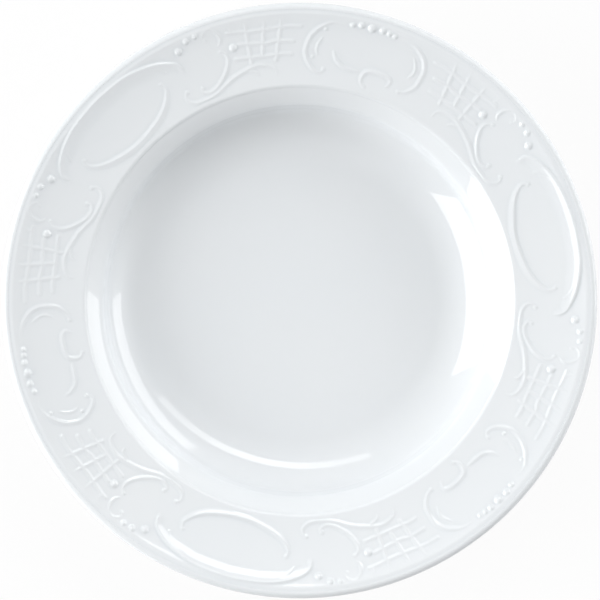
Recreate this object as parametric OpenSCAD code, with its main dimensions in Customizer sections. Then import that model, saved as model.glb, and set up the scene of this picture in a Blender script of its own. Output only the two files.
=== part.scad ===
// Rimmed soup plate of glazed porcelain, with low relief pressed round the rim.
// Lengths are in millimetres and angles in degrees. The plate stands on its foot ring
// at z = 0 with its axis on Z, and the first oval of the relief lies near the +X side.

/* [Plate] */
// Diameter over the lip
plate_d = 230; // [216:1:250]
// Height from the table to the top of the lip
plate_h = 37.5; // [35.5:0.5:42]
// Thickness of the lip, which is a full round
lip_t = 4; // [3.2:0.1:4.8]
// Thickness of the wall, and of the rim where it joins the wall
wall_t = 4.8; // [4.2:0.1:5.6]
// Thickness of the glaze
glaze_t = 0.25; // [0.15:0.05:0.4]

/* [Rim] */
// Slope of the rim beside the well
rim_slope = 8; // [6:0.5:10]
// Slope of the rim where the lip starts, to which it turns up
lip_slope = 19; // [16:0.5:21]
// Diameter of the line where the rim starts to turn down into the well
well_d = 168; // [160:1:172]

/* [Well] */
// Radius of the crisp edge where the rim ends
edge_r = 2; // [1.6:0.1:2.4]
// Slope to which that edge turns down
edge_slope = 60; // [54:1:64]
// Radius of the small hollow under the edge
cove_r = 1; // [0.8:0.1:1.4]
// Slope of the ledge where it leaves that hollow
ledge_slope = 34; // [31:0.5:37]
// Radius of the ledge, which is nearly flat
ledge_r = 42; // [34:1:50]
// Slope at which the ledge passes into the shoulder
brow_slope = 42.5; // [40:0.5:45]
// Radius of the shoulder over the wall
shoulder_r = 4.5; // [3.5:0.1:6]
// Radius of the shoulder that the back follows, measured at the height of the face
back_shoulder_r = 12; // [9:0.5:14]
// Slope of the wall where it is straight
wall_slope = 74; // [70:1:76]
// Radius of the upper, tighter part of the hollow corner
heel_r = 5; // [4:0.1:6.5]
// Slope at which the hollow corner tightens
heel_slope = 42; // [38:1:46]
// Radius of the hollow corner between floor and wall
corner_r = 30; // [27:1:33]
// Slope of the dished floor where it meets the corner
floor_slope = 2.5; // [1:0.5:4]
// Thickness of the floor at its middle
floor_t = 4.2; // [3.6:0.1:5.2]

/* [Foot] */
// Diameter over the foot ring
foot_d = 124; // [118:1:130]
// Width of the foot ring
foot_w = 4.5; // [4:0.1:6]
// Radius of the foot's two lower edges
foot_round_r = 1.3; // [0.8:0.1:1.5]
// Radius of the hollow between the foot and the back of the wall
foot_hollow_r = 2.5; // [1.5:0.5:4]
// Height of the recess inside the foot ring
recess_h = 3.4; // [3:0.1:4]
// Radius of the recess's inner corner
recess_hollow_r = 1.2; // [0.6:0.1:1.3]
// Height of the band at the foot that carries no glaze
bare_h = 1.6; // [1.6:0.1:1.9]

/* [Relief] */
// Width of a scroll at its widest
scroll_w = 1.7; // [1.2:0.1:2]
// Height of a scroll
scroll_h = 0.5; // [0.3:0.05:0.9]
// Width of the broad band over each oval
band_w = 3; // [2:0.1:3.2]
// Diameter of the round eye that ends a scroll
eye_d = 1.9; // [1.4:0.1:2.4]
// Diameter of a middle pearl
pearl_d = 1.9; // [1.4:0.1:2.4]
// Width of a trellis rib
rib_w = 1; // [0.7:0.1:1.3]
// Height of a trellis rib
rib_h = 0.45; // [0.25:0.05:0.6]

/* [Hidden] */
$fn = 180;

clay_color = "#f0efeb";
glaze_color = "#e8edf0";
relief_color = "#dfe6ea";

plate_r = plate_d / 2;
well_r = well_d / 2;
foot_r = foot_d / 2;
lip_r = lip_t / 2;

// Widest turn between two stations of a profile, in degrees
turn_step = 4;
// Longest step between two rings of a scroll
scroll_step = 1.9;
// Longest step along a profile
long_step = 8;
// Number of steps in which the outlines follow the rim
rim_steps = 8;
// Depth by which a rib starts below the glaze before it is trimmed to it
trim_depth = 1;

// The glazed face is worked out from the lip inwards and from the floor outwards.
// What is left between the two is the straight part of the wall.
rim_end = [plate_r - lip_r - lip_r * sin(lip_slope), plate_h - lip_r + lip_r * cos(lip_slope)];
// The rim is an arc that turns up towards the lip. Its height and its slope at a radius follow from it.
rim_arc_r = (rim_end.x - well_r) / (sin(lip_slope) - sin(rim_slope));
rim_c = rim_end + rim_arc_r * [-sin(lip_slope), cos(lip_slope)];
function rim_z(r) = rim_c.y - sqrt(rim_arc_r * rim_arc_r - (r - rim_c.x) * (r - rim_c.x));
function rim_tilt(r) = asin((r - rim_c.x) / rim_arc_r);
// Places across the rim are shares of its breadth, with 0 at the well and 1 where the lip starts.
function rim_r(share) = well_r + share * (rim_end.x - well_r);
edge_z = rim_z(well_r);
floor_z = recess_h + floor_t;
// Each turn of the face between rim and floor: its radius, and the two slopes that it joins
turns = [
    [edge_r, edge_slope, rim_slope], [cove_r, edge_slope, ledge_slope],
    [ledge_r, brow_slope, ledge_slope], [shoulder_r, wall_slope, brow_slope],
    [heel_r, wall_slope, heel_slope], [corner_r, heel_slope, floor_slope]
];
function total(list, i = 0) = i == len(list) ? 0 : list[i] + total(list, i + 1);
turns_run = total([for (t = turns) t[0] * (sin(t[1]) - sin(t[2]))]);
turns_rise = total([for (t = turns) t[0] * (cos(t[2]) - cos(t[1]))]);
dish = tan(floor_slope / 2);
left_to_rise = edge_z - floor_z - turns_rise - (well_r - turns_run) * dish;
wall_len = left_to_rise / (sin(wall_slope) - dish * cos(wall_slope));
floor_r = well_r - turns_run - wall_len * cos(wall_slope);
dish_r = floor_r / sin(floor_slope);

// A station is [radius, height, direction of travel]. The glaze or the air lies on its left.
function turn(from, r, a0, a1) =
    let (
        side = sign(a1 - a0),
        c = from + side * r * [-sin(a0), cos(a0)],
        n = ceil(abs(a1 - a0) * max(1 / turn_step, r * PI / 180 / long_step))
    )
    [for (i = [1:n]) let (a = a0 + (a1 - a0) * i / n) [c.x + side * r * sin(a), c.y - side * r * cos(a), a]];
function place(s) = [s.x, s.y];
function last(list) = list[len(list) - 1];
function run_on(list, r, a1) = concat(list, turn(place(last(list)), r, last(list).z, a1));
function inset(stations, d) = [for (s = stations) [s.x + d * sin(s.z), s.y - d * cos(s.z)]];
function reversed(list) = [for (i = [len(list) - 1:-1:0]) list[i]];

// The face, from the middle of the floor to the outer end of the rim
function floor_face() = concat([[0, floor_z, 0]], turn([0, floor_z], dish_r, 0, floor_slope));
function corner_face() = run_on(run_on(floor_face(), corner_r, heel_slope), heel_r, wall_slope);
function wall_top(from) = [
    [from.x + wall_len * cos(wall_slope), from.y + wall_len * sin(wall_slope), wall_slope]
];
function well_face() = concat(corner_face(), wall_top(last(corner_face())));
function rim_face(from) = [
    for (i = [1:rim_steps]) let (r = rim_r(i / rim_steps)) if (r > from) [r, rim_z(r), rim_tilt(r)]
];
function ledge_face() = run_on(run_on(well_face(), shoulder_r, brow_slope), ledge_r, ledge_slope);
function face() = concat(
    run_on(run_on(ledge_face(), cove_r, edge_slope), edge_r, rim_slope),
    rim_face(well_r)
);

// The back follows a plainer face, in which one shoulder joins the wall's line and the line on which
// the rim starts.
wall_foot = place(last(corner_face()));
line_x = (edge_z - wall_foot.y + wall_foot.x * tan(wall_slope) - well_r * tan(rim_slope))
    / (tan(wall_slope) - tan(rim_slope));
shoulder_len = back_shoulder_r * tan((wall_slope - rim_slope) / 2);
line_z = edge_z + (line_x - well_r) * tan(rim_slope);
shoulder_start = [line_x, line_z] - shoulder_len * [cos(wall_slope), sin(wall_slope)];
shoulder_end = line_x + shoulder_len * cos(rim_slope);
function plain_face() = concat(
    corner_face(),
    run_on([[shoulder_start.x, shoulder_start.y, wall_slope]], back_shoulder_r, rim_slope),
    rim_face(max(shoulder_end, well_r) + lip_r)
);

// The back lies under it at the plate's thickness, and runs down to the foot ring. The hollow over
// the foot meets it under the corner of the well, or under the dished floor if the foot is small.
corner_c = place(last(floor_face())) + corner_r * [-sin(floor_slope), cos(floor_slope)];
hollow_x = foot_r + foot_hollow_r;
on_corner = hollow_x - corner_c.x > (corner_r + wall_t + foot_hollow_r) * sin(floor_slope);
seat_c = on_corner ? corner_c : [0, floor_z + dish_r];
seat_r = on_corner ? corner_r : dish_r;
foot_slope = asin((hollow_x - seat_c.x) / (seat_r + wall_t + foot_hollow_r));
foot_seat = [seat_c.x + seat_r * sin(foot_slope), seat_c.y - seat_r * cos(foot_slope), foot_slope];
function thickness(r) = r < well_r ? wall_t : wall_t + (lip_t - wall_t) * (r - well_r) / (rim_end.x - well_r);
function under(s) =
    let (t = thickness(s.x)) [s.x + t * sin(s.z), s.y - t * cos(s.z), s.z - 180];
function back() = [
    for (s = reversed(plain_face())) if (s.x > foot_seat.x && s.x < rim_end.x - glaze_t) under(s)
];

// All that the outer glaze covers, from the middle of the floor round the lip to the foot's outer side
function outside() = concat(
    run_on(face(), lip_r, lip_slope - 180),
    back(),
    run_on([under(foot_seat)], foot_hollow_r, -90),
    [[foot_r, bare_h, -90]]
);
// The recess inside the foot ring, from the foot's inner side to the axis
recess_r = foot_r - foot_w;
function recess() = concat(
    [[recess_r, bare_h, -270]],
    run_on([[recess_r, recess_h - recess_hollow_r, -270]], recess_hollow_r, -180),
    [[0, recess_h, -180]]
);
// The bare end of the foot ring, which meets the table
function foot_end() = concat(
    run_on([[foot_r - glaze_t, foot_round_r, -90]], foot_round_r, -180),
    run_on([[recess_r + glaze_t + foot_round_r, 0, -180]], foot_round_r, -270)
);

// Lifts the end of a coat off the foot as a short bevel, so that the glaze thins out to nothing
function bevelled(p) = p + [0, glaze_t];

module porcelain_body() {
    color(clay_color) rotate_extrude() polygon(concat(
        inset(outside(), glaze_t), inset(foot_end(), 0), inset(recess(), glaze_t)
    ));
}

module outer_glaze() {
    glazed = inset(outside(), 0);
    color(glaze_color) rotate_extrude() polygon(concat(
        [for (i = [0:len(glazed) - 2]) glazed[i]],
        [bevelled(last(glazed))],
        reversed(inset(outside(), glaze_t))
    ));
}

module recess_glaze() {
    glazed = inset(recess(), 0);
    color(glaze_color) rotate_extrude() polygon(concat(
        [bevelled(glazed[0])], [for (i = [1:len(glazed) - 1]) glazed[i]], reversed(inset(recess(), glaze_t))
    ));
}

// Places on the rim are [degrees, share of its breadth].
function on_rim(p) = rim_r(p.y) * [cos(p.x), sin(p.x)];
function mirrored(p) = [-p.x, p.y];

// What lies under the glazed rim, for trimming ribs to the surface they stand on
module rim_seat() {
    rotate_extrude() polygon(concat(
        [[well_r, edge_z]],
        [for (s = rim_face(well_r)) place(s)],
        [[rim_end.x, rim_end.y - lip_t], [well_r, edge_z - lip_t]]
    ));
}

// The ornament repeats round the plate, with an oval on each axis and a kidney half way between.
repeats = 3;
first_axis = 15;
kidney_turn = 180 / repeats;

// A smooth curve through the points, in steps of about scroll_step
function blend(a, b, c, d, t) =
    (2 * b + (c - a) * t + (2 * a - 5 * b + 4 * c - d) * t * t + (3 * b - a - 3 * c + d) * t * t * t) / 2;
function curve(p) = [
    for (i = [0:len(p) - 2], n = max(1, ceil(norm(p[i + 1] - p[i]) / scroll_step)), j = [0:n - 1])
        blend(p[max(i - 1, 0)], p[i], p[i + 1], p[min(i + 2, len(p) - 1)], j / n),
    last(p)
];
// Moves the first point towards the second, clear of the eye that it would otherwise run into
most_share = 0.9;
function short_of(p, gap) =
    let (step = p[1] - p[0], share = min(gap / norm(step), most_share))
    [for (i = [0:len(p) - 1]) i > 0 ? p[i] : p[0] + step * share];

// Half the cross-section of a scroll: shares of its half width, and of its height
crown_shares = [[-1, 0], [-0.62, 0.72], [0, 1], [0.62, 0.72], [1, 0]];
// Width and height at the tips, and the part of the length over which a tip swells to full size
tip_share = 0.45;
swell_share = 0.3;

// A scroll of crowned section that swells from its tips to the middle, seated on the rim
module scroll(points, w, eye_start, eye_end) {
    route = curve(reversed(short_of(reversed(short_of(points, eye_start / 2)), eye_end / 2)));
    n = len(route);
    k = len(crown_shares);
    ring = [for (i = [0:n - 1], c = crown_shares)
        let (
            along = route[min(i + 1, n - 1)] - route[max(i - 1, 0)],
            across = [-along.y, along.x] / norm(along),
            rise = min(1, min(i, n - 1 - i) / (n - 1) / swell_share),
            size = tip_share + (1 - tip_share) * sin(90 * rise),
            p = route[i] - across * c.x * size * w / 2
        )
        [p.x, p.y, rim_z(norm(p)) + c.y * size * scroll_h]
    ];
    skin = [for (i = [0:n - 2], j = [0:k - 1])
        let (a = i * k + j, b = i * k + (j + 1) % k) [a, b, b + k, a + k]
    ];
    ends = [[for (j = [k - 1:-1:0]) j], [for (j = [0:k - 1]) (n - 1) * k + j]];
    polyhedron(ring, concat(skin, ends));
}

// One row for each scroll: width and the two eyes as shares of scroll_w and eye_d, then its places
module scrolls(table) {
    for (row = table)
        scroll([for (p = row[1]) on_rim(p)], row[0].x * scroll_w, row[0].y * eye_d, row[0].z * eye_d);
}
function eyes(table) = [for (row = table) each [
    if (row[0].y > 0) [row[1][0], row[0].y * eye_d],
    if (row[0].z > 0) [last(row[1]), row[0].z * eye_d]
]];
function flipped(table) = [for (row = table) [row[0], [for (p = row[1]) mirrored(p)]]];

band_share = band_w / scroll_w;
oval_shares = [
    [[band_share, 0.9, 0], [[-18.2, 0.574], [-17.5, 0.661], [-16, 0.726], [-13.5, 0.802], [-10, 0.856],
        [-6, 0.899], [0, 0.915], [5, 0.91], [9, 0.899], [12.5, 0.856], [15.5, 0.791], [17.3, 0.704],
        [17.7, 0.617]]],
    [[0.7, 0.8, 0], [[-14.5, 0.65], [-13.5, 0.72], [-11.8, 0.769], [-9.6, 0.796]]],
    [[0.7, 0, 0], [[10.6, 0.818], [12, 0.769], [13.2, 0.715], [13.8, 0.65]]],
    [[1, 1, 1], [[-12.2, 0.531], [-12.6, 0.444], [-12, 0.379], [-10.5, 0.282], [-8, 0.195], [-5, 0.141],
        [-1, 0.108], [3, 0.119], [6.5, 0.179], [9.5, 0.26], [11.5, 0.357], [12.4, 0.455], [12, 0.531]]]
];
side_shares = [
    [[0.9, 0.8, 0], [[25, 0.802], [24.6, 0.856], [25.3, 0.91], [26.4, 0.926], [27.4, 0.877], [28, 0.802],
        [28, 0.726], [27.4, 0.682]]],
    [[0.9, 0.9, 1], [[27.3, 0.596], [28.3, 0.542], [28.4, 0.444], [27.3, 0.32], [25.5, 0.217], [24, 0.159],
        [22.3, 0.128], [21, 0.141], [20.1, 0.184], [20.5, 0.217]]],
    [[1, 1, 0], [[16.6, 0.26], [15.8, 0.217], [16, 0.141], [17.3, 0.081], [19.2, 0.06], [21.5, 0.06],
        [24, 0.092], [26.5, 0.152], [29, 0.211], [32.5, 0.271], [35, 0.298], [37.5, 0.271], [39, 0.217],
        [39.3, 0.141]]],
    [[0.6, 0, 0], [[33.2, 0.233], [34.4, 0.206], [34.8, 0.152]]]
];
kidney_shares = [
    [[1, 1, 0.7], [[-10.2, 0.184], [-11.7, 0.217], [-12.8, 0.282], [-13.5, 0.357], [-13.7, 0.477],
        [-13.5, 0.596], [-12.6, 0.704], [-11.2, 0.78], [-9.7, 0.834], [-8.2, 0.856], [-6.4, 0.856]]],
    [[0.55, 0, 0], [[-11, 0.401], [-11.7, 0.498], [-11.4, 0.596], [-10.3, 0.693]]],
    [[1, 0.7, 1], [[6, 0.834], [7.3, 0.856], [8.7, 0.845], [9.9, 0.802], [11.3, 0.737], [12.6, 0.639],
        [13.3, 0.542], [13.7, 0.444], [13.3, 0.336], [12.3, 0.238], [11.1, 0.179], [9.8, 0.168],
        [9.1, 0.217]]],
    [[0.55, 0, 0], [[9.9, 0.639], [10.7, 0.563], [11.1, 0.477], [10.8, 0.401]]],
    [[1, 0, 0.9], [[-7, 0.179], [-7.5, 0.238], [-7.4, 0.282], [-6.4, 0.314], [-4.7, 0.32], [-2.7, 0.314],
        [-1.2, 0.282], [-0.6, 0.217], [-0.5, 0.157], [-0.9, 0.108], [-1.6, 0.087]]],
    [[0.9, 0, 0], [[0.5, 0.26], [2.3, 0.265], [4.3, 0.282], [5.8, 0.325], [6.8, 0.401], [7.1, 0.477]]]
];

module each_repeat(turned) {
    for (i = [0:repeats - 1]) rotate(first_axis + turned + i * 360 / repeats) children();
}

module oval_frames() {
    color(relief_color) each_repeat(0) scrolls(oval_shares);
}

module kidney_frames() {
    color(relief_color) each_repeat(kidney_turn) scrolls(kidney_shares);
}

module side_scrolls() {
    color(relief_color) each_repeat(0) {
        scrolls(side_shares);
        scrolls(flipped(side_shares));
    }
}

// Radial ribs: places of the outer and the inner end
rib_shares = [
    [[30.2, 0.942], [30.5, 0.823]], [[33.8, 0.953], [33.6, 0.336]],
    [[38, 0.953], [36.4, 0.412]], [[41.5, 0.953], [39.5, 0.336]]
];
// Cross ribs: the two ends in degrees, and the place across the rim
cross_shares = [[29.6, 45.3, 0.78], [31.6, 43.6, 0.59], [30.2, 43, 0.412]];

// A rib's section: its upright sides as a share of its height, and its flat top as one of its width
upright_share = 0.35;
top_share = 0.56;

// The section is drawn with its foot at the height of the glazed rim, and carried below it for trimming.
module rib_section() {
    side = rib_w / 2;
    top = side * top_share;
    upright = rib_h * upright_share;
    polygon([
        [-side, -trim_depth], [side, -trim_depth], [side, upright],
        [top, rib_h], [-top, rib_h], [-side, upright]
    ]);
}

module radial_rib(outer, inner) {
    a = on_rim(outer);
    b = on_rim(inner);
    run = norm(a - b);
    fall = rim_z(norm(a)) - rim_z(norm(b));
    translate([b.x, b.y, rim_z(norm(b))])
        rotate([0, -atan2(fall, run), atan2(a.y - b.y, a.x - b.x)])
        rotate([90, 0, 90]) linear_extrude(norm([run, fall])) rib_section();
}

module cross_rib(row) {
    rotate(row[0]) rotate_extrude(angle = row[1] - row[0])
        translate([rim_r(row[2]), rim_z(rim_r(row[2]))]) rib_section();
}

module trellis_fan() {
    for (row = rib_shares) radial_rib(row[0], row[1]);
    for (row = cross_shares) cross_rib(row);
}

module trellis_fans() {
    color(relief_color) difference() {
        each_repeat(0) {
            trellis_fan();
            mirror([0, 1, 0]) trellis_fan();
        }
        rim_seat();
    }
}

// Pearls beside each oval and over each kidney: place, then diameter as a share of pearl_d
side_pearl_shares = [[[19, 0.802], 1.45], [[21.3, 0.894], 1.05], [[23.3, 0.921], 0.75], [[30.3, 0.596], 1.5]];
kidney_pearl_shares = [
    [[-4.9, 0.856], 0.75], [[-3.7, 0.867], 0.8], [[-2.2, 0.877], 0.9], [[0, 0.867], 1.15],
        [[2.2, 0.877], 0.9],
    [[4, 0.856], 0.8], [[9.4, 0.758], 0.6], [[12, 0.368], 0.55]
];
// Height of a pearl as a share of its diameter
dome_share = 0.36;

// A low dome, which is the cap of a ball, set square on the slope of the rim
module pearl(place, d) {
    p = on_rim(place);
    h = d * dome_share;
    ball_r = (d * d / 4 + h * h) / (2 * h);
    translate([p.x, p.y, rim_z(norm(p))]) rotate([0, -rim_tilt(norm(p)), place.x])
        rotate_extrude() intersection() {
            translate([0, h - ball_r]) circle(ball_r);
            square([d, h]);
        }
}

module pearl_row(table) {
    for (row = table) pearl(row[0], row[1] * pearl_d);
}

module eye_row(table) {
    for (row = eyes(table)) pearl(row[0], row[1]);
}

module pearls() {
    flipped_pearls = [for (row = side_pearl_shares) [mirrored(row[0]), row[1]]];
    color(relief_color) {
        each_repeat(0) {
            pearl_row(concat(side_pearl_shares, flipped_pearls));
            eye_row(concat(oval_shares, side_shares, flipped(side_shares)));
        }
        each_repeat(kidney_turn) {
            pearl_row(kidney_pearl_shares);
            eye_row(kidney_shares);
        }
    }
}

porcelain_body();
outer_glaze();
recess_glaze();
oval_frames();
kidney_frames();
side_scrolls();
trellis_fans();
pearls();
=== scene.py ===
import math

import bpy
import numpy as np
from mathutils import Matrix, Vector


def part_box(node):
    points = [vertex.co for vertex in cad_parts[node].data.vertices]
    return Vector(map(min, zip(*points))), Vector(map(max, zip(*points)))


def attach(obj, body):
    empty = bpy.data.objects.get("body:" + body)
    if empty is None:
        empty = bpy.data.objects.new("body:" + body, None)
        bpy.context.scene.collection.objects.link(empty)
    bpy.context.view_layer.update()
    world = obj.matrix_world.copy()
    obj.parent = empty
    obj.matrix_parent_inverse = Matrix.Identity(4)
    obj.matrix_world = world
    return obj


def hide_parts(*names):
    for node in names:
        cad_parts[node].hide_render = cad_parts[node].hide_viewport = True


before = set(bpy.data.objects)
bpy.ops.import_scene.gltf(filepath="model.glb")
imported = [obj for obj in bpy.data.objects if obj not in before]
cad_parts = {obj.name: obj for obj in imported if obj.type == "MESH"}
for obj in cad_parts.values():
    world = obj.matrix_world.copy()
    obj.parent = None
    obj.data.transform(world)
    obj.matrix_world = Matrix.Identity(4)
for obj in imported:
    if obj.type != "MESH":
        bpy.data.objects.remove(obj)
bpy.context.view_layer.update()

# The camera looks straight down from high above, with the plate filling the picture. Its lens
# and its place follow from the plate's radius and middle in the picture, in pixels.
MM = 0.001
plate_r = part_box("outer_glaze")[1].x / MM
plate_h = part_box("outer_glaze")[1].z / MM
camera_height = 1.6
sensor_width = 36
picture_px = 600
plate_px = 298.25
plate_at = (299.5, 300.5)
m_per_px = plate_r / plate_px * MM


def placed(name, data):
    """A new object in the scene."""
    made = bpy.data.objects.new(name, data)
    bpy.context.scene.collection.objects.link(made)
    return made


camera = placed("camera", bpy.data.cameras.new("camera"))
camera.location = (
    (picture_px / 2 - plate_at[0]) * m_per_px, (plate_at[1] - picture_px / 2) * m_per_px, camera_height)
camera.data.sensor_width = sensor_width
camera.data.lens = sensor_width * (camera_height - plate_h * MM) / (picture_px * m_per_px)
bpy.context.scene.camera = camera

# The glazed well: the dished floor, the hollow corner, the steep wall, the sloping ledge over it
# and the rounded edge of the rim. The real one is jiggered porcelain, glazed by dipping, so the
# surface is glassy, with the faint waviness that a turned and fired body keeps.
lip_t = 4.0
glaze_t = 0.25
rim_slope, lip_slope = 8.0, 19.0
well_r = 84.0
edge_r, edge_slope = 2.0, 60.0
cove_r, ledge_slope = 1.0, 34.0
ledge_r, brow_slope = 42.0, 42.5
shoulder_r, wall_slope = 4.5, 74.0
heel_r, heel_slope = 5.0, 42.0
corner_r, floor_slope = 30.0, 2.5
recess_h, floor_t = 3.4, 4.2
hub_r, floor_step = 0.6, 1.6
turn_step, least_steps_per_degree = 0.3, 0.25
wall_pieces, brink_pieces = 12, 3
seam_in = 84.8
calm_in, calm_out = 12, 6
columns = 480


def sin(degrees):
    return math.sin(math.radians(degrees))


def cos(degrees):
    return math.cos(math.radians(degrees))


def tan(degrees):
    return math.tan(math.radians(degrees))


# The rim is an arc from its edge to where the round of the lip begins
lip_r = lip_t / 2
rim_end = (plate_r - lip_r - lip_r * sin(lip_slope), plate_h - lip_r + lip_r * cos(lip_slope))
rim_arc_r = (rim_end[0] - well_r) / (sin(lip_slope) - sin(rim_slope))
rim_centre = (rim_end[0] - rim_arc_r * sin(lip_slope), rim_end[1] + rim_arc_r * cos(lip_slope))


def rim_z(r):
    """The height of the plain rim's face at a radius."""
    return rim_centre[1] - np.sqrt(rim_arc_r ** 2 - (r - rim_centre[0]) ** 2)


def rim_tilt(r):
    """The slope of the plain rim's face at a radius, in degrees."""
    return np.degrees(np.arcsin((r - rim_centre[0]) / rim_arc_r))


# The turns between the rim and the floor, as radius, steep end and flat end, leave the length
# of the straight wall and the radius of the floor
edge_z = rim_z(well_r)
floor_z = recess_h + floor_t
turns = [
    (edge_r, edge_slope, rim_slope), (cove_r, edge_slope, ledge_slope),
    (ledge_r, brow_slope, ledge_slope), (shoulder_r, wall_slope, brow_slope),
    (heel_r, wall_slope, heel_slope), (corner_r, heel_slope, floor_slope),
]
turns_run = sum(r * (sin(steep) - sin(flat)) for r, steep, flat in turns)
turns_rise = sum(r * (cos(flat) - cos(steep)) for r, steep, flat in turns)
dish = tan(floor_slope / 2)
wall_len = ((edge_z - floor_z - turns_rise - (well_r - turns_run) * dish)
            / (sin(wall_slope) - dish * cos(wall_slope)))
floor_r = well_r - turns_run - wall_len * cos(wall_slope)


def turn(path, radius, end):
    """Carries a path of (radius, height, slope) round an arc to a new slope."""
    r, z, start = path[-1]
    side = 1 if end > start else -1
    cr, cz = r - side * radius * sin(start), z + side * radius * cos(start)
    steps = math.ceil(abs(end - start) * max(least_steps_per_degree, math.radians(radius) / turn_step))
    for i in range(1, steps + 1):
        a = start + (end - start) * i / steps
        path.append((cr + side * radius * sin(a), cz - side * radius * cos(a), a))


def straight(path, r, z, pieces):
    """Carries a path straight on to a place, in equal pieces."""
    r0, z0, a = path[-1]
    path += [(r0 + (r - r0) * i / pieces, z0 + (z - z0) * i / pieces, a) for i in range(1, pieces + 1)]


def along_rim(path, r, pieces):
    """Carries a path along the arc of the rim to a radius, in equal pieces."""
    for at in np.linspace(path[-1][0], r, pieces + 1)[1:]:
        path.append((at, rim_z(at), rim_tilt(at)))


def around(r, degrees):
    """The x and y of points at a radius and a turn about the plate's axis."""
    return r * np.cos(np.radians(degrees)), r * np.sin(np.radians(degrees))


def waviness(r, degrees):
    """The slight wander of a fired body's surface, in millimetres, as a few long waves."""
    x, y = around(r, degrees)
    return (0.022 * np.sin(x / 17 + 0.8) * np.cos(y / 21 - 0.4) + 0.014 * np.sin((x + 1.7 * y) / 11.5)
            + 0.012 * np.cos((1.3 * x - y) / 9.0 + 1.1))


def turned(path, depth, degrees):
    """Points and normals of a path swept to the given turns, lowered by a depth under the surface."""
    r, z, a = (np.array(v)[:, None] for v in zip(*path))
    s, c = np.sin(np.radians(a)), np.cos(np.radians(a))
    # The waves die away near the axis and the seam with the relief
    wave = waviness(r, degrees) * np.clip(r / calm_in, 0, 1) * np.clip((seam_in - r) / calm_out, 0, 1)
    low = depth - (wave if depth == 0 else 0)
    level = np.zeros((len(path), len(degrees)))
    points = np.stack([*around(r + low * s, degrees), z - low * c + level], -1)
    return points, np.stack([*around(-s, degrees), c + level], -1)


def grid_normals(points, wrap):
    """True normals of a grid of points, whose second direction closes on itself where wrap is set."""
    along = np.gradient(points, axis=0)
    if wrap:
        across = np.roll(points, -1, 1) - np.roll(points, 1, 1)
    else:
        across = np.gradient(points, axis=1)
    n = np.cross(along, across)
    return n / np.maximum(np.linalg.norm(n, axis=-1, keepdims=True), 1e-12)


def smooth_piece(name, points, faces, normals):
    """A mesh piece that rides on the plate, in millimetres, shaded with its own true normals."""
    mesh = bpy.data.meshes.new(name)
    mesh.from_pydata((points * MM).tolist(), [], faces)
    mesh.shade_smooth()
    mesh.normals_split_custom_set_from_vertices(normals.tolist())
    piece = placed(name, mesh)
    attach(piece, "root")
    return piece


def ring_faces(rings, first, flip):
    """Quads between rings of points, each ring closed on itself."""
    faces = []
    for i in range(rings - 1):
        a, b = first + i * columns, first + (i + 1) * columns
        for j in range(columns):
            k = (j + 1) % columns
            quad = (a + j, b + j, b + k, a + k)
            faces.append(quad[::-1] if flip else quad)
    return faces


def coat(name, path, axis_end=None):
    """A coat of glaze along a path: an outer and an inner skin, joined at the open ends of the path.

    axis_end is the end of the path that closes on the axis, 0 or -1.
    """
    angles = np.arange(columns) * 360 / columns
    outer, plain = turned(path, 0, angles)
    inner, _ = turned(path, glaze_t, angles)
    # The recess, whose path ends on the axis, is shaded as plain, without the waves
    normals = plain if axis_end == -1 else grid_normals(outer, True)
    normals[[0, -1]] = plain[[0, -1]]
    rings = len(path)
    size = rings * columns
    points = np.concatenate([outer.reshape(-1, 3), inner.reshape(-1, 3)])
    normals = np.concatenate([normals.reshape(-1, 3), -plain.reshape(-1, 3)])
    faces = ring_faces(rings, 0, False) + ring_faces(rings, size, True)
    for end in (0, -1):
        ring = end % rings * columns
        if end != axis_end:
            for j in range(columns):
                k = (j + 1) % columns
                quad = (ring + j, ring + k, size + ring + k, size + ring + j)
                faces.append(quad if end == 0 else quad[::-1])
    if axis_end is not None:
        for skin in (0, size):
            ring = skin + axis_end % rings * columns
            up = (axis_end == 0) == (skin == 0)
            hub = len(points)
            points = np.concatenate([points, points[ring:ring + columns].mean(0, keepdims=True)])
            normals = np.concatenate([normals, [[0, 0, 1.0 if up else -1.0]]])
            for j in range(columns):
                tri = (hub, ring + j, ring + (j + 1) % columns)
                faces.append(tri if up else tri[::-1])
    return smooth_piece(name, points, faces, normals)


dish_r = floor_r / sin(floor_slope)
well_path = [(r, floor_z + dish_r - math.sqrt(dish_r ** 2 - r ** 2), math.degrees(math.asin(r / dish_r)))
             for r in np.concatenate([[hub_r], np.arange(2, floor_r - 0.5, floor_step), [floor_r]])]
corner_centre = (floor_r - corner_r * sin(floor_slope), well_path[-1][1] + corner_r * cos(floor_slope))
turn(well_path, corner_r, heel_slope)
turn(well_path, heel_r, wall_slope)
corner_path = list(well_path)
wall_foot_r, wall_foot_z, _ = corner_path[-1]
wall_top = (wall_foot_r + wall_len * cos(wall_slope), wall_foot_z + wall_len * sin(wall_slope))
straight(well_path, *wall_top, wall_pieces)
turn(well_path, shoulder_r, brow_slope)
turn(well_path, ledge_r, ledge_slope)
turn(well_path, cove_r, edge_slope)
turn(well_path, edge_r, rim_slope)
along_rim(well_path, seam_in, brink_pieces)
well_glaze = coat("well_glaze", well_path, 0)
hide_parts("outer_glaze")


def srgb(code):
    """A hex colour as linear red, green, blue and alpha."""
    parts = [int(code[i:i + 2], 16) / 255 for i in (1, 3, 5)]
    return [p / 12.92 if p <= 0.04045 else ((p + 0.055) / 1.055) ** 2.4 for p in parts] + [1.0]


def new_material(name):
    """A new material, with its node tree and its shader."""
    made = bpy.data.materials.new(name)
    made.use_nodes = True
    return made, made.node_tree, made.node_tree.nodes["Principled BSDF"]


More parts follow.
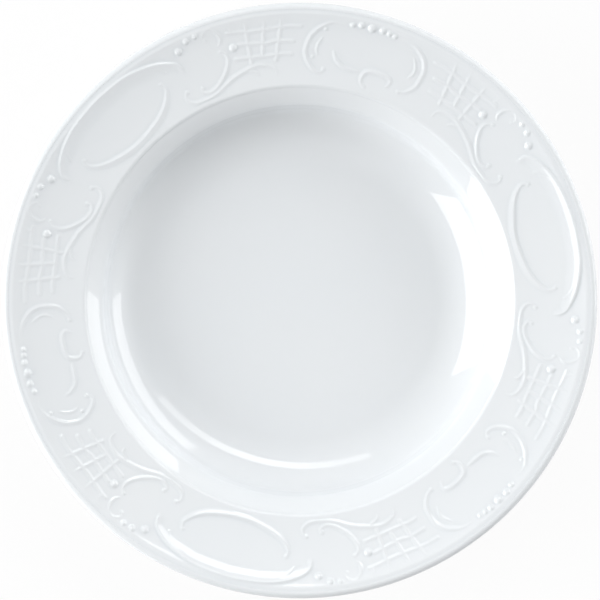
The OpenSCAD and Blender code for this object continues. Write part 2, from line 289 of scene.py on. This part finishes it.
def add(tree, kind, inputs=(), **settings):
    """Adds a node, with its settings and its inputs, each a value or another node's output."""
    n = tree.nodes.new(kind)
    for key, value in settings.items():
        setattr(n, key, value)
    for key, value in dict(inputs).items():
        if isinstance(value, bpy.types.NodeSocket):
            tree.links.new(value, n.inputs[key])
        else:
            n.inputs[key].default_value = value
    return n


# Feldspathic glaze on white porcelain, fired glossy: a clear coat of glass on a cool white
# body. It gives sharp, bright reflections, a skin with a barely seen orange peel of about
# 2 mm, and a slightly deeper, cooler tone where the glaze ran thick in the hollows. Part of
# that darkening is painted shade at the foot of each ridge.
glaze_white, thin_glaze_white, pooled_and_shaded_white = srgb("#ECF0F3"), srgb("#EFF2F4"), srgb("#DDE4E8")
glaze_least_rough, glaze_most_rough = 0.015, 0.03
glaze_ior = 1.52
peel_size, peel_strength, peel_depth = 2.2, 0.25, 0.004
drift_size = 45
glaze, tree, shader = new_material("feldspathic_glaze")
place = add(tree, "ShaderNodeTexCoord").outputs["Object"]
peel = add(tree, "ShaderNodeTexNoise", {"Vector": place, "Scale": 1 / (peel_size * MM), "Detail": 1.0})
drift = add(tree, "ShaderNodeTexNoise", {"Vector": place, "Scale": 1 / (drift_size * MM), "Detail": 2.0})
tone = add(tree, "ShaderNodeMix", {
    0: drift.outputs["Fac"], 6: glaze_white, 7: thin_glaze_white}, data_type="RGBA")
# Painted shade: the hollows at the foot of each ridge are mixed toward a darker, cooler white, part thick
# glaze and part painted shade
pool_and_shade = add(tree, "ShaderNodeAttribute", attribute_name="pooling_and_shade")
pool_and_shade_tone = add(tree, "ShaderNodeMix", {
    0: pool_and_shade.outputs["Fac"], 6: tone.outputs[2], 7: pooled_and_shaded_white}, data_type="RGBA")
tree.links.new(pool_and_shade_tone.outputs[2], shader.inputs["Base Color"])
shine = add(tree, "ShaderNodeMapRange", {0: drift.outputs["Fac"], 3: glaze_least_rough, 4: glaze_most_rough})
tree.links.new(shine.outputs[0], shader.inputs["Roughness"])
skin = add(tree, "ShaderNodeBump", {
    "Strength": peel_strength, "Distance": peel_depth * MM, "Height": peel.outputs["Fac"]})
tree.links.new(skin.outputs["Normal"], shader.inputs["Normal"])
shader.inputs["IOR"].default_value = glaze_ior
well_glaze.data.materials.append(glaze)

# The relief rim: three equal repeats of low rocaille relief, pressed with the body and softened
# by the glaze over it. Each repeat holds an oval reserve in the middle, half a kidney-shaped one
# at either end, and between them scrolls, pearls and a fan of trellis.
repeats, first_axis = 3, 15.0
half_repeat = 180 / repeats
seam_out = 112.4
plate_step, route_step, low_rings = 0.27, 0.25, 9
scroll_w, scroll_h = 2.6, 0.37
narrow_share, narrow_h_share = 0.75, 0.75
crest_in, crest_out, crest_h, crest_power = 6.0, 1.3, 0.8, 1.6
hem_in, hem_out, hem_h = 2.4, 1.2, 0.5
eye_d, eye_dome_share = 1.9, 0.12
pearl_d, pearl_dome_share = 2.0, 0.2
rib_w, rib_h = 2.2, 0.27
tip_share, swell_share = 0.4, 0.3
flank_power, dome_power, join_power = 1.2, 0.8, 5
swell_from, swell_top, swell_h, swell_power = 105.0, 110.6, 0.29, 1.6
seam_fade = 0.6
pool_and_shade_reach, pool_and_shade_depth, pool_and_shade_softening = 24, 0.3, 2


def plan(places):
    """Places on the rim, in degrees and shares of its breadth, as points seen from above."""
    degrees, share = np.array(places, float).T
    return np.stack(around(well_r + share * (rim_end[0] - well_r), degrees), -1)


def curve(points):
    """A smooth curve through points, in short even steps."""
    out = []
    for i in range(len(points) - 1):
        a, b = points[max(i - 1, 0)], points[i]
        c, d = points[i + 1], points[min(i + 2, len(points) - 1)]
        n = max(1, math.ceil(np.linalg.norm(c - b) / route_step))
        t = (np.arange(n) / n)[:, None]
        out.append((2 * b + (c - a) * t + (2 * a - 5 * b + 4 * c - d) * t ** 2
                    + (3 * b - a - 3 * c + d) * t ** 3) / 2)
    out.append(points[-1:])
    return np.concatenate(out)


# Each place is degrees from the middle of the oval, or in the kidney tables from the middle of the
# kidney, and a share of the rim's breadth. A scroll starts with shares for its width and for the
# round eyes at its two ends, and a pearl ends with one for its size.
crest_shares = [
    (-18.2, 0.574), (-17.5, 0.661), (-16, 0.726), (-13.5, 0.802), (-10, 0.866), (-6, 0.909), (0, 0.925),
    (5, 0.92), (9, 0.904), (12.5, 0.861), (15.5, 0.791), (17.3, 0.704), (17.7, 0.617),
]
hem_shares = [
    (-12.2, 0.531), (-12.6, 0.444), (-12, 0.379), (-10.5, 0.282), (-8, 0.195), (-5, 0.141), (-1, 0.108),
    (3, 0.119), (6.5, 0.179), (9.5, 0.26), (11.5, 0.357), (12.4, 0.455), (12, 0.531),
]
oval_shares = [
    [(0.8, 0.8, 0), [(-14.5, 0.65), (-13.5, 0.72), (-11.5, 0.791), (-8.5, 0.845), (-6, 0.877)]],
    [(0.8, 0, 0), [(9.5, 0.867), (11.5, 0.818), (13, 0.747), (13.8, 0.672)]],
]
side_shares = [
    [(0.9, 0.8, 0), [
        (25, 0.802), (24.6, 0.856), (25.3, 0.91), (26.4, 0.926), (27.4, 0.877), (28, 0.802), (28, 0.726),
        (27.4, 0.682)]],
    [(0.9, 0.9, 1), [
        (27.3, 0.596), (28.3, 0.542), (28.4, 0.444), (27.3, 0.32), (25.5, 0.217), (24, 0.159),
        (22.3, 0.128), (21, 0.141), (20.1, 0.184), (20.5, 0.217)]],
    [(1, 1, 0), [
        (16.6, 0.26), (15.8, 0.217), (16, 0.141), (17.3, 0.081), (19.2, 0.06), (21.5, 0.06), (24, 0.092),
        (26.5, 0.152), (29, 0.211), (32.5, 0.271), (35, 0.298), (37.5, 0.271), (39, 0.217), (39.3, 0.141)]],
    [(0.6, 0, 0), [(32, 0.26), (33.2, 0.233), (34.4, 0.206), (34.8, 0.152)]],
]
kidney_shares = [
    [(1, 1, 0.7), [
        (-10.2, 0.184), (-11.7, 0.217), (-12.8, 0.282), (-13.5, 0.357), (-13.7, 0.477), (-13.5, 0.596),
        (-12.6, 0.704), (-11.2, 0.78), (-9.7, 0.834), (-8.2, 0.856), (-6.4, 0.856)]],
    [(0.6, 0, 0), [(-11, 0.401), (-11.7, 0.498), (-11.4, 0.596), (-10.3, 0.693)]],
    [(1, 0.7, 1), [
        (6, 0.834), (7.3, 0.856), (8.7, 0.845), (9.9, 0.802), (11.3, 0.737), (12.6, 0.639), (13.3, 0.542),
        (13.7, 0.444), (13.3, 0.336), (12.3, 0.238), (11.1, 0.179), (9.8, 0.168), (9.1, 0.217)]],
    [(0.6, 0, 0), [(9.9, 0.639), (10.7, 0.563), (11.1, 0.477), (10.8, 0.401)]],
    [(1, 0, 0.9), [
        (-7, 0.179), (-7.5, 0.238), (-7.4, 0.282), (-6.4, 0.314), (-4.7, 0.32), (-2.7, 0.314),
        (-1.2, 0.282), (-0.6, 0.217), (-0.5, 0.157), (-0.9, 0.108), (-1.6, 0.087)]],
    [(0.9, 0, 0), [(0.5, 0.26), (2.3, 0.265), (4.3, 0.282), (5.8, 0.325), (6.8, 0.401), (7.1, 0.477)]],
]
rib_shares = [
    [(30.2, 0.953), (30.5, 0.823)], [(33.8, 0.964), (33.6, 0.336)],
    [(38, 0.964), (36.4, 0.412)], [(41.5, 0.964), (39.5, 0.336)],
    [(29.6, 0.807), (32, 0.789), (34, 0.766), (37, 0.758), (40, 0.766), (42.5, 0.78), (45.3, 0.775)],
    [(31.6, 0.622), (34, 0.601), (36, 0.585), (38, 0.574), (40, 0.594), (42, 0.585), (43.6, 0.58)],
    [(30.2, 0.441), (33, 0.422), (36, 0.408), (39, 0.404), (41, 0.412), (43, 0.404)],
]
side_pearl_shares = [[(19, 0.802), 1.5], [(21.3, 0.885), 1.25], [(23.3, 0.9), 1.05], [(30.3, 0.596), 1.6]]
kidney_pearl_shares = [
    [(-4.9, 0.856), 1.05], [(-3.7, 0.867), 1.1], [(-2.2, 0.877), 1.3], [(0, 0.867), 1.65],
    [(2.2, 0.877), 1.3], [(4, 0.856), 1.1], [(9.4, 0.758), 0.8], [(12, 0.368), 0.75],
]


def moved(places, by=0, side=1):
    """Places carried round the rim by some degrees, or mirrored where side is -1."""
    return [(side * degrees + by, share) for degrees, share in places]


# The height of the relief over the plain rim, on a grid of one repeat
ring_r = np.linspace(seam_in, seam_out, math.ceil((seam_out - seam_in) / plate_step) + 1)
across_n = 2 * math.ceil(math.radians(half_repeat) * (seam_in + seam_out) / 2 / plate_step)
ring_deg = -half_repeat + np.arange(across_n) * 2 * half_repeat / across_n
grid_r, grid_deg = np.meshgrid(ring_r, ring_deg, indexing="ij")
grid_xy = np.stack(around(grid_r, grid_deg), -1)
relief = np.zeros_like(grid_r)


def met(a, b):
    """The higher of two heights, with a soft hollow where they meet."""
    return (a ** join_power + b ** join_power) ** (1 / join_power)


def dome(xy, d, height_share):
    """The height of a soft dome over the grid."""
    near = np.linalg.norm(grid_xy - xy, axis=-1) / (d / 2)
    return d * height_share * np.clip(1 - near ** 2, 0, None) ** dome_power


def raise_eye(xy, d):
    """Raises the round eye that ends a scroll."""
    relief[:] = met(relief, dome(xy, d, eye_dome_share))


def raise_stroke(places, left, right, height, tapered=True, steepening=flank_power):
    """Raises a ridge through places, with its reach to either side. A tapered one swells from its tips."""
    route = curve(plan(places))
    n = len(route)
    i = np.arange(n)
    rise = np.clip(np.minimum(i, n - 1 - i) / (n - 1) / swell_share, 0, 1)
    size = tip_share + (1 - tip_share) * np.sin(rise * np.pi / 2) if tapered else np.ones(n)
    ahead = np.gradient(route, axis=0)
    reach = max(left, right)
    near = np.where(((grid_xy > route.min(0) - reach) & (grid_xy < route.max(0) + reach)).all(-1))
    spots = grid_xy[near]
    best = np.full(len(spots), np.inf)
    at = np.zeros(len(spots), int)
    for k, step in enumerate(route):
        away = np.linalg.norm(spots - step, axis=-1)
        better = away < best
        best[better], at[better] = away[better], k
    aside = spots - route[at]
    is_left = ahead[at, 0] * aside[:, 1] - ahead[at, 1] * aside[:, 0] > 0
    x = best / (np.where(is_left, left, right) * size[at])
    relief[near] = met(relief[near], height * size[at] * np.clip(1 - x, 0, None) ** steepening)


def raise_scrolls(table, by=0, side=1):
    """Raises the scrolls of a table, carried round the rim or mirrored."""
    for (width, start_eye, end_eye), places in table:
        places = moved(places, by, side)
        height = scroll_h * (1 if width > narrow_share else narrow_h_share)
        raise_stroke(places, width * scroll_w / 2, width * scroll_w / 2, height)
        for eye, end in ((start_eye, 0), (end_eye, -1)):
            if eye:
                raise_eye(plan(places)[end], eye * eye_d)


pearls = []
raise_stroke(crest_shares, crest_in, crest_out, crest_h, steepening=crest_power)
raise_stroke(hem_shares, hem_in, hem_out, hem_h)
for end in (0, -1):
    raise_eye(plan(hem_shares)[end], eye_d)
raise_scrolls(oval_shares)
for side in (1, -1):
    raise_scrolls(side_shares, 0, side)
for by in (-half_repeat, half_repeat):
    raise_scrolls(kidney_shares, by)
    pearls += [(plan(moved([at], by))[0], share * pearl_d) for at, share in kidney_pearl_shares]
for side in (1, -1):
    for places in rib_shares:
        raise_stroke(moved(places, 0, side), rib_w / 2, rib_w / 2, rib_h, False)
    pearls += [(plan(moved([at], 0, side))[0], share * pearl_d) for at, share in side_pearl_shares]


def softened(field, steps):
    """Spreads a field over its neighbours, as the glaze rounds off the clay's edges."""
    for _ in range(steps):
        field = (np.roll(field, 1, 1) + 2 * field + np.roll(field, -1, 1)) / 4
        padded = np.concatenate([field[:1], field, field[-1:]])
        field = (padded[:-2] + 2 * padded[1:-1] + padded[2:]) / 4
    return field


# The rim swells a little just inside the lip, and the pearls stand on that swell
swell = swell_h * np.clip((grid_r - swell_from) / (swell_top - swell_from), 0, 1) ** swell_power
relief = met(relief, swell)
for xy, d in pearls:
    relief += dome(xy, d, pearl_dome_share)
relief = softened(relief, 1)
fade = np.clip((seam_out - grid_r) / (seam_out - swell_top), 0, 1)
relief *= np.clip((grid_r - seam_in) / seam_fade, 0, 1) * fade ** 2 * (3 - 2 * fade)
# Glaze gathers, and shade falls, at the foot of each ridge, where the surface is lower than its
# surroundings. This mask marks those hollows for a cooler glaze tone with painted shade in it.
hollow = softened(np.clip((softened(relief, pool_and_shade_reach) - relief) / pool_and_shade_depth, 0, 1), pool_and_shade_softening)


def whirled(degrees):
    """The matrix that carries points round the axis, one to a row."""
    s, c = sin(degrees), cos(degrees)
    return np.array([[c, s, 0], [-s, c, 0], [0, 0, 1]])


def rim_points(r, degrees, height):
    """Points at a height over the plain rim, square to it."""
    tilt = np.radians(rim_tilt(r))
    return np.stack([*around(r - height * np.sin(tilt), degrees), rim_z(r) + height * np.cos(tilt)], -1)


def sheet(first, rows, cols, down):
    """Quads over a grid of points."""
    i, j = np.meshgrid(np.arange(rows - 1), np.arange(cols - 1), indexing="ij")
    a = (first + i * cols + j).ravel()
    quads = np.stack([a, a + cols, a + cols + 1, a + 1], -1)
    return (quads[:, ::-1] if down else quads).tolist()


def rim_faces(rows, cols):
    """The outer skin of a repeat, with its inner skin and the edges that close it."""
    low = rows * cols
    faces = sheet(0, rows, cols, False) + sheet(low, low_rings, cols, True)
    top_out, low_out = low - cols, low + (low_rings - 1) * cols
    for j in range(cols - 1):
        faces.append((j, j + 1, low + j + 1, low + j))
        faces.append((top_out + j + 1, top_out + j, low_out + j, low_out + j + 1))
    end = [low + i * cols for i in range(low_rings)][::-1] + [i * cols for i in range(rows)]
    return faces + [end, [i + cols - 1 for i in end][::-1]]


# One repeat's outer skin, with its first column again at its end, and its inner skin
base = rim_points(grid_r, grid_deg, relief)
onward = whirled(2 * half_repeat)
closed = np.concatenate([base, base[:, :1] @ onward], 1)
margined = np.concatenate([closed[:, -2:-1] @ onward.T, closed, closed[:, 1:2] @ onward], 1)
closed_normals = grid_normals(margined, False)[:, 1:-1]
closed_deg = np.append(ring_deg, half_repeat)
for row, r in ((0, seam_in), (-1, seam_out)):
    level = np.zeros(len(closed_deg))
    closed_normals[row] = np.stack([*around(-sin(rim_tilt(r)), closed_deg), cos(rim_tilt(r)) + level], -1)
low_r, low_deg = np.meshgrid(np.linspace(seam_in, seam_out, low_rings), closed_deg, indexing="ij")
low_points = rim_points(low_r, low_deg, -glaze_t).reshape(-1, 3)
low_normals = np.tile([[0.0, 0.0, -1.0]], (len(low_points), 1))
repeat_points = np.concatenate([closed.reshape(-1, 3), low_points])
repeat_normals = np.concatenate([closed_normals.reshape(-1, 3), low_normals])
repeat_faces = rim_faces(*closed.shape[:2])
pool_and_shade_values = np.append(np.concatenate([hollow, hollow[:, :1]], 1), np.zeros(len(low_points)))
for k in range(repeats):
    whirl = whirled(first_axis + 2 * half_repeat * k)
    rim_piece = smooth_piece(
        f"relief_rim_{k + 1}", repeat_points @ whirl, repeat_faces, repeat_normals @ whirl)
    # Each repeat carries the mask of its hollows, where the glaze is painted darker as painted shade and
    # thick glaze
    pooling_and_shade = rim_piece.data.attributes.new("pooling_and_shade", "FLOAT", "POINT")
    pooling_and_shade.data.foreach_set("value", pool_and_shade_values.astype(np.float32))
    rim_piece.data.materials.append(glaze)
    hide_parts("oval_frames", "kidney_frames", "side_scrolls", "trellis_fans", "pearls")

# The lip and the back: the full round of the lip, the underside of the rim, the back of the
# wall and the foot's outer side. One dip of glaze covers it down to the bare foot.
wall_t = 4.8
back_shoulder_r = 12.0
foot_r, foot_hollow_r, bare_h = 62.0, 2.5, 1.6
back_pieces = 16
foot_reach = foot_r + foot_hollow_r - corner_centre[0]
foot_slope = math.degrees(math.asin(foot_reach / (corner_r + wall_t + foot_hollow_r)))


def under(r, z, slope):
    """The station on the back that lies under one on the face."""
    t = wall_t if r < well_r else wall_t + (lip_t - wall_t) * (r - well_r) / (rim_end[0] - well_r)
    return r + t * sin(slope), z - t * cos(slope), slope - 180


# The back follows a plain face, with one large shoulder where the lines of wall and rim cross
line_r = ((edge_z - wall_foot_z + wall_foot_r * tan(wall_slope) - well_r * tan(rim_slope))
          / (tan(wall_slope) - tan(rim_slope)))
line_z = edge_z + (line_r - well_r) * tan(rim_slope)
shoulder_len = back_shoulder_r * tan((wall_slope - rim_slope) / 2)
shoulder_foot = (line_r - shoulder_len * cos(wall_slope), line_z - shoulder_len * sin(wall_slope), wall_slope)
plain_path = corner_path + [shoulder_foot]
turn(plain_path, back_shoulder_r, rim_slope)
past_shoulder_r = plain_path[-1][0] + lip_r
plain_path.append((past_shoulder_r, rim_z(past_shoulder_r), rim_tilt(past_shoulder_r)))
along_rim(plain_path, rim_end[0] - lip_r, back_pieces)
back_path = [(seam_out, rim_z(seam_out), rim_tilt(seam_out)), (*rim_end, lip_slope)]
turn(back_path, lip_r, lip_slope - 180)
back_path += [under(*station) for station in reversed(plain_path) if station[2] > foot_slope]
foot_top = (
    corner_centre[0] + corner_r * sin(foot_slope), corner_centre[1] - corner_r * cos(foot_slope), foot_slope)
back_path.append(under(*foot_top))
turn(back_path, foot_hollow_r, -90)
back_path.append((foot_r, bare_h + glaze_t, -90))
back_glaze = coat("lip_and_back_glaze", back_path)
back_glaze.data.materials.append(glaze)
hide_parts("outer_glaze")

# The recess inside the foot ring, glazed in the same dip and parted from the rest by the bare
# ring that stands on the table. It is plain.
recess_r, recess_hollow_r = 57.5, 1.2
recess_pieces = 24
recess_path = [(recess_r, bare_h + glaze_t, -270), (recess_r, recess_h - recess_hollow_r, -270)]
turn(recess_path, recess_hollow_r, -180)
straight(recess_path, hub_r, recess_h, recess_pieces)
recess_glaze = coat("recess_glaze_coat", recess_path, -1)
recess_glaze.data.materials.append(glaze)
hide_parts("recess_glaze")

# The porcelain body shows only at the bare foot ring: vitrified clay without glaze, sanded
# after firing, so it is matt, a little warmer than the glaze, and speckled by fine grit. The
# grit is drawn coarser than it is, so that it shows.
clay_white, grit_tone = srgb("#E9E6DF"), srgb("#CFC8BC")
clay_least_rough, clay_most_rough = 0.6, 0.8
grit_size, grit_strength, grit_depth = 0.5, 0.5, 0.03
speck_from, speck_to = 0.62, 0.72
biscuit, tree, shader = new_material("bare_porcelain")
place = add(tree, "ShaderNodeTexCoord").outputs["Object"]
grit = add(tree, "ShaderNodeTexNoise", {"Vector": place, "Scale": 1 / (grit_size * MM), "Detail": 3.0})
speck = add(tree, "ShaderNodeMapRange", {0: grit.outputs["Fac"], 1: speck_from, 2: speck_to})
tone = add(tree, "ShaderNodeMix", {0: speck.outputs[0], 6: clay_white, 7: grit_tone}, data_type="RGBA")
tree.links.new(tone.outputs[2], shader.inputs["Base Color"])
tooth = add(tree, "ShaderNodeMapRange", {0: grit.outputs["Fac"], 3: clay_least_rough, 4: clay_most_rough})
tree.links.new(tooth.outputs[0], shader.inputs["Roughness"])
grain = add(tree, "ShaderNodeBump", {
    "Strength": grit_strength, "Distance": grit_depth * MM, "Height": grit.outputs["Fac"]})
tree.links.new(grain.outputs["Normal"], shader.inputs["Normal"])
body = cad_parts["porcelain_body"]
body.data.materials.clear()
body.data.materials.append(biscuit)

# The stage: a floor of matt white paper. What the camera, a reflection or glass sees of it is
# nearly all plain white, which leaves a soft shadow.
floor_half = 3.0
paper_white, paper_roughness = srgb("#F4F4F4"), 0.9
white_share = 0.93
paper, tree, shader = new_material("stage_paper")
shader.inputs["Base Color"].default_value = paper_white
shader.inputs["Roughness"].default_value = paper_roughness
shader.inputs["Specular IOR Level"].default_value = 0.0
ray = add(tree, "ShaderNodeLightPath").outputs
seen = ray["Is Camera Ray"]
for other in ("Is Glossy Ray", "Is Transmission Ray"):
    seen = add(tree, "ShaderNodeMath", {0: seen, 1: ray[other]}, operation="MAXIMUM").outputs[0]
share = add(tree, "ShaderNodeMath", {0: seen, 1: white_share}, operation="MULTIPLY")
white = add(tree, "ShaderNodeEmission", {"Color": (1, 1, 1, 1), "Strength": 1.0})
mixed = add(tree, "ShaderNodeMixShader", {0: share.outputs[0], 1: shader.outputs[0], 2: white.outputs[0]})
tree.links.new(mixed.outputs[0], tree.nodes["Material Output"].inputs["Surface"])
mesh = bpy.data.meshes.new("stage_floor")
floor_corners = [(x * floor_half, y * floor_half, 0) for x, y in ((-1, -1), (1, -1), (1, 1), (-1, 1))]
mesh.from_pydata(floor_corners, [], [(0, 1, 2, 3)])
mesh.materials.append(paper)
stage_floor = placed("stage_floor", mesh)

# The room: walls and windows that the glaze mirrors as smooth patches of light. It is brightest on
# the right and the left, and dark beyond the lower right of the picture. A row of patches has its
# height in degrees, how narrow each one is, and the azimuth and strength of each.
room_glow = 0.07
low_row = (18, 14, [(0, 1.68), (30, 0.38), (60, 1.17), (90, 0.43), (180, 1.15), (240, 1.1), (330, 0.39)])
high_row = (52, 9, [(75, 0.46), (195, 0.46)])
world = bpy.data.worlds.new("room")
bpy.context.scene.world = world
world.use_nodes = True
tree = world.node_tree
toward = add(tree, "ShaderNodeTexCoord").outputs["Generated"]
glow = room_glow
for height, focus, patches in (low_row, high_row):
    for azimuth, strength in patches:
        heart = (cos(azimuth) * cos(height), sin(azimuth) * cos(height), sin(height))
        near = add(tree, "ShaderNodeVectorMath", {0: toward, 1: heart}, operation="DOT_PRODUCT")
        fall = add(tree, "ShaderNodeMath", {
            0: near.outputs["Value"], 1: focus, 2: -focus}, operation="MULTIPLY_ADD")
        patch = add(tree, "ShaderNodeMath", {0: fall.outputs[0]}, operation="EXPONENT")
        glow = add(tree, "ShaderNodeMath", {
            0: patch.outputs[0], 1: strength, 2: glow}, operation="MULTIPLY_ADD").outputs[0]
tree.links.new(glow, tree.nodes["Background"].inputs["Strength"])
tree.nodes["Background"].inputs["Color"].default_value = (1, 1, 1, 1)

# The lamps are where the plate mirrors them: a tall soft box on the left, a low one on the
# right, and a long strip high above the top of the picture.
lamp_distance = 1.2


def lamp(name, azimuth, start, stop, low, high, lean, radiance):
    """A flat soft box that leans over the plate. Its edges are in degrees, as the plate sees them."""
    foot = np.array([lamp_distance, lamp_distance * tan(low)])
    reach = (foot[0] * tan(high) - foot[1]) / (cos(lean) + sin(lean) * tan(high))
    head = foot + reach * np.array([-sin(lean), cos(lean)])
    light = bpy.data.lights.new(name, "AREA")
    light.shape = "RECTANGLE"
    light.size = lamp_distance * (tan(stop) - tan(start))
    light.size_y = reach
    light.energy = radiance * math.pi * light.size * light.size_y
    box = placed(name, light)
    away, height = (foot + head) / 2
    aside = lamp_distance * (tan(start) + tan(stop)) / 2
    box.location = (
        away * cos(azimuth) - aside * sin(azimuth), away * sin(azimuth) + aside * cos(azimuth), height)
    box.rotation_euler = (math.radians(90 - lean), 0, math.radians(azimuth + 90))
    box.visible_camera = False


lamp("soft_box_left", azimuth=186.5, start=-25.5, stop=25.5, low=4, high=47.2, lean=20, radiance=3.6)
lamp("soft_box_right", azimuth=26, start=-26.5, stop=26.5, low=12.5, high=29.5, lean=20, radiance=2.8)
# The strip is brightest in its middle, so it is laid in lengths side by side
strip_edges = (-40, -27, -18, -9, 9, 18, 27, 40)
strip_radiances = (2.3, 3.1, 3.9, 4.6, 3.9, 3.1, 2.3)
for k, radiance in enumerate(strip_radiances):
    lamp(f"strip_top_{k}", azimuth=75, start=strip_edges[k], stop=strip_edges[k + 1],
         low=44.8, high=54.4, lean=0, radiance=radiance)

bpy.context.scene.view_settings.view_transform = "Standard"
